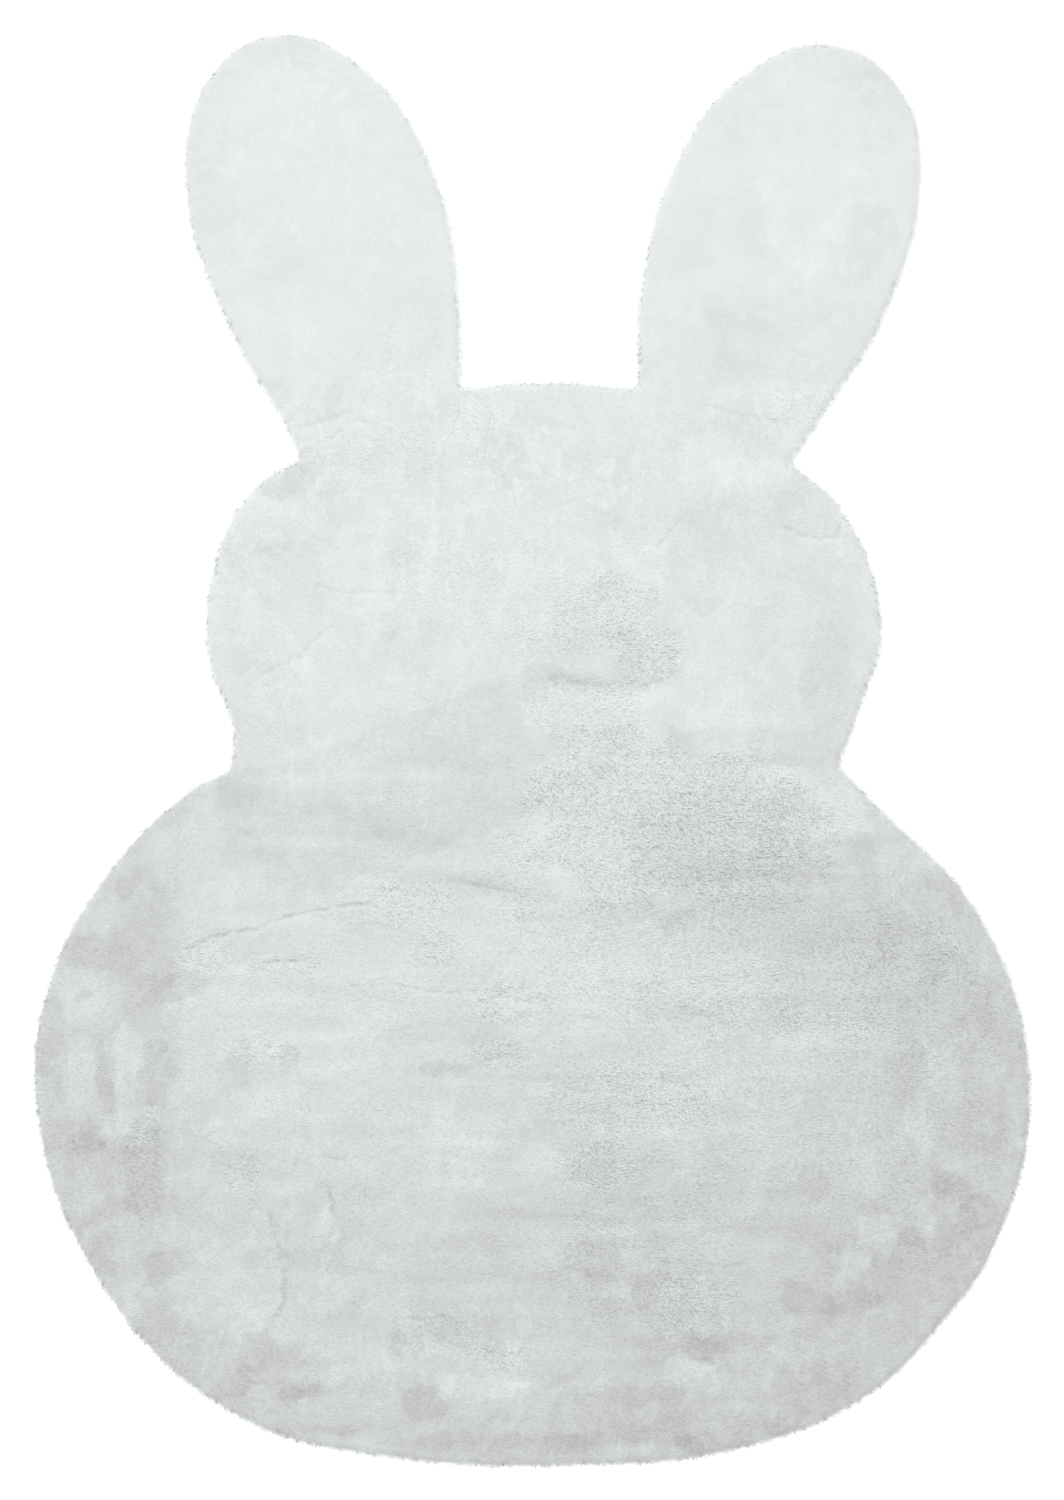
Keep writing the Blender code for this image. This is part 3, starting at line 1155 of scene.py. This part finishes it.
def rubbed_pile_shade(nodes, place, coarse):
    """Painted light and shade where hands and feet have rubbed the pile: how much lighter or darker it
    shows.
    """
    stir = nodes.number("stir")
    drift = nodes.add(
        "ShaderNodeTexNoise", {}, {"Vector": place, "Scale": 22.0, "Detail": 3.0}, "Color",
    )
    brushed = place + (drift - (0.5, 0.5, 0.5)) * 0.04
    shade_blotch = nodes.clouds(brushed * (0.8, 1.2, 1.0), SHADE_BLOTCH, 6.0, 0.62) - 0.5
    ragged = nodes.clouds(brushed, RAGGED, 4.0, 0.6) - 0.5
    wisp = nodes.rise(nodes.clouds(brushed * (1.3, 0.9, 1.0), WISP, 4.0, 0.6), 0.50, 0.60) - 0.5
    stroke = nodes.rise(nodes.clouds(brushed * (1.7, 0.7, 1.0), STROKE, 3.0, 0.6), 0.52, 0.64) - 0.3
    return (
        shade_blotch * (0.2 + stir * 0.8) * (1.0 - coarse * 0.4)
        + ragged * (0.10 + stir * 0.4 + nodes.number("edge") * 1.2) * (1.0 - coarse * 0.8)
        + wisp * (stir * 0.20)
        + stroke * (stir * stir * 0.18)
    )


def pile_material(colours):
    """Soft fibre: its painted light and shade follow the pile's lean, its grain how coarsely it stands.
    """
    finish = {
        "Roughness": 0.9, "Specular IOR Level": 0.12, "Sheen Weight": 0.15, "Sheen Roughness": 0.6,
    }
    material, nodes, shader = new_material("plush_pile", finish)
    place = nodes.add("ShaderNodeTexCoord", {}, {}, "Object")
    coarse = nodes.number("coarse")
    side = nodes.number("side")
    pebble, fibre = pile_grain(nodes, place)
    lean = (
        nodes.number("lean")
        + rubbed_pile_shade(nodes, place, coarse)
        # Pebbles show darker in the hollows between them: painted shade.
        + pebble * (coarse * 2.4)
        + coarse * 0.60
        + fibre * (0.42 + coarse * 0.8)
        + nodes.number("own") * (0.01 + coarse * 0.06)
        # Fibres show darker at their roots than at their tips: painted shade between the fibres.
        + (nodes.number("tip") - 0.6) * (0.01 + coarse * 0.20)
    )
    # The shaded and lit copies of the pile's colour, blended by the lean: painted shade and painted
    # light.
    combed = nodes.blend(lean * 0.6 + 0.265, paint(colours.dark), paint(colours.light))
    # Painted light on the steep rim: its paler colour, varied by strands, blended in by steepness.
    strands = nodes.rise(nodes.clouds(place * (1.0, 1.0, 0.25), STRAND, 2.0), 0.3, 0.7)
    loose = nodes.blend(strands, paint(colours.rim, 0.84), paint(colours.rim))
    feed(nodes.blend(side * 0.90, combed, loose), shader, "Base Color")
    # Combed pile is shaded as if it stood upright, so that it looks soft. The rim isn't.
    rounded = nodes.add("ShaderNodeNewGeometry", {}, {}, "Normal")
    calm = (0.98 - coarse * 0.55) * (1.0 - side)
    normal = nodes.direction("upright") * calm + rounded * (1.0 - calm)
    normal = nodes.add("ShaderNodeVectorMath", {"operation": "NORMALIZE"}, {0: normal})
    height = (pebble * coarse + fibre * (0.10 + coarse * 0.2)) * (1.0 - side)
    relief = {"Strength": 1.0, "Distance": 0.0032, "Height": height, "Normal": normal}
    feed(nodes.add("ShaderNodeBump", {}, relief), shader, "Normal")
    return material


class PLUSHRUG_OT_pile(bpy.types.Operator):
    """Build the body of the pile and the loose fibres round its rim"""

    bl_idname = "plushrug.pile"
    bl_label = "Pile"

    def execute(self, context):
        scene = context.scene
        mesh = pile_body(scene.rug_settings)
        shape_body(mesh, scene.rug_settings)
        pieces = grow_fibres(mesh, scene.fibre_settings, pile_material(scene.colour_settings))
        return {"FINISHED"}


# -------- stage


LAMP_PLACE = Vector((-2.0, 4.8, 9.6))
SENSOR_WIDTH = 36.0


def floor_material(glow):
    """Pale matt floor with a faint unevenness, which gives off a little light."""
    finish = {
        "Roughness": 0.8, "Emission Color": (1.0, 1.0, 1.0, 1.0), "Emission Strength": glow,
    }
    material, nodes, shader = new_material("pale_floor", finish)
    place = nodes.add("ShaderNodeTexCoord", {}, {}, "Object")
    shade = nodes.clouds(place, 1.5, 2.0)
    pale = nodes.blend(shade, (0.95, 0.95, 0.95, 1.0), (0.965, 0.965, 0.965, 1.0))
    feed(pale, shader, "Base Color")
    return material


def lay_floor(scene, stage):
    """Lay a wide floor under the rug."""
    shape = bmesh.new()
    bmesh.ops.create_grid(shape, x_segments=1, y_segments=1, size=stage.floor_size)
    mesh = bpy.data.meshes.new("floor")
    shape.to_mesh(mesh)
    shape.free()
    mesh.materials.append(floor_material(stage.floor_glow))
    floor = bpy.data.objects.new("floor", mesh)
    scene.collection.objects.link(floor)


def light(scene, stage):
    """Even light from all round, and one large soft lamp above the ears."""
    world = bpy.data.worlds.new("studio")
    scene.world = world
    world.use_nodes = True
    sky = world.node_tree.nodes["Background"]
    sky.inputs["Color"].default_value = (1.0, 1.0, 1.0, 1.0)
    sky.inputs["Strength"].default_value = stage.sky
    key = bpy.data.lights.new("key", "AREA")
    key.shape = "DISK"
    key.size = stage.key_size
    key.energy = stage.key_power
    lamp = bpy.data.objects.new("key", key)
    lamp.location = LAMP_PLACE
    lamp.rotation_euler = (-LAMP_PLACE).to_track_quat("-Z", "Y").to_euler()
    scene.collection.objects.link(lamp)


def set_camera(scene, stage):
    """Put the camera straight above the rug, as far off as its lens and the margin ask."""
    view = bpy.data.cameras.new("camera")
    view.lens = stage.lens
    view.sensor_width = SENSOR_WIDTH
    camera = bpy.data.objects.new("camera", view)
    distance = RUG_SIZE.y * stage.margin * view.lens / view.sensor_width
    camera.location = (0.0, 0.0, RUG_HIGH.z + distance)
    scene.collection.objects.link(camera)
    scene.camera = camera
    scene.view_settings.view_transform = "Standard"


class PLUSHRUG_OT_stage(bpy.types.Operator):
    """Build the floor, the lights and the camera"""

    bl_idname = "plushrug.stage"
    bl_label = "Stage"

    def execute(self, context):
        scene = context.scene
        lay_floor(scene, scene.stage_settings)
        light(scene, scene.stage_settings)
        set_camera(scene, scene.stage_settings)
        return {"FINISHED"}


# -------- add-on


class PLUSHRUG_PT_panel(bpy.types.Panel):
    """The rug's pieces and their settings"""

    bl_idname = "PLUSHRUG_PT_panel"
    bl_label = "Plush Rug"
    bl_space_type = "VIEW_3D"
    bl_region_type = "UI"
    bl_category = "Plush Rug"

    def draw(self, context):
        scene = context.scene
        sections = (
            ("plushrug.backing", (scene.rug_settings,)),
            ("plushrug.pile", (scene.fibre_settings, scene.colour_settings)),
            ("plushrug.stage", (scene.stage_settings,)),
        )
        for operator, groups in sections:
            box = self.layout.box()
            box.operator(operator)
            for settings in groups:
                for name in settings.__annotations__:
                    box.prop(settings, name)


SETTINGS = {
    "rug_settings": RugSettings,
    "fibre_settings": FibreSettings,
    "colour_settings": ColourSettings,
    "stage_settings": StageSettings,
}
CLASSES = (
    *SETTINGS.values(),
    PLUSHRUG_OT_backing,
    PLUSHRUG_OT_pile,
    PLUSHRUG_OT_stage,
    PLUSHRUG_PT_panel,
)


def register():
    for item in CLASSES:
        bpy.utils.register_class(item)
    for name, group in SETTINGS.items():
        setattr(bpy.types.Scene, name, PointerProperty(type=group))


def unregister():
    for name in SETTINGS:
        delattr(bpy.types.Scene, name)
    for item in reversed(CLASSES):
        bpy.utils.unregister_class(item)


def main():
    register()
    bpy.ops.plushrug.backing()
    bpy.ops.plushrug.pile()
    bpy.ops.plushrug.stage()


if __name__ == "__main__":
    main()
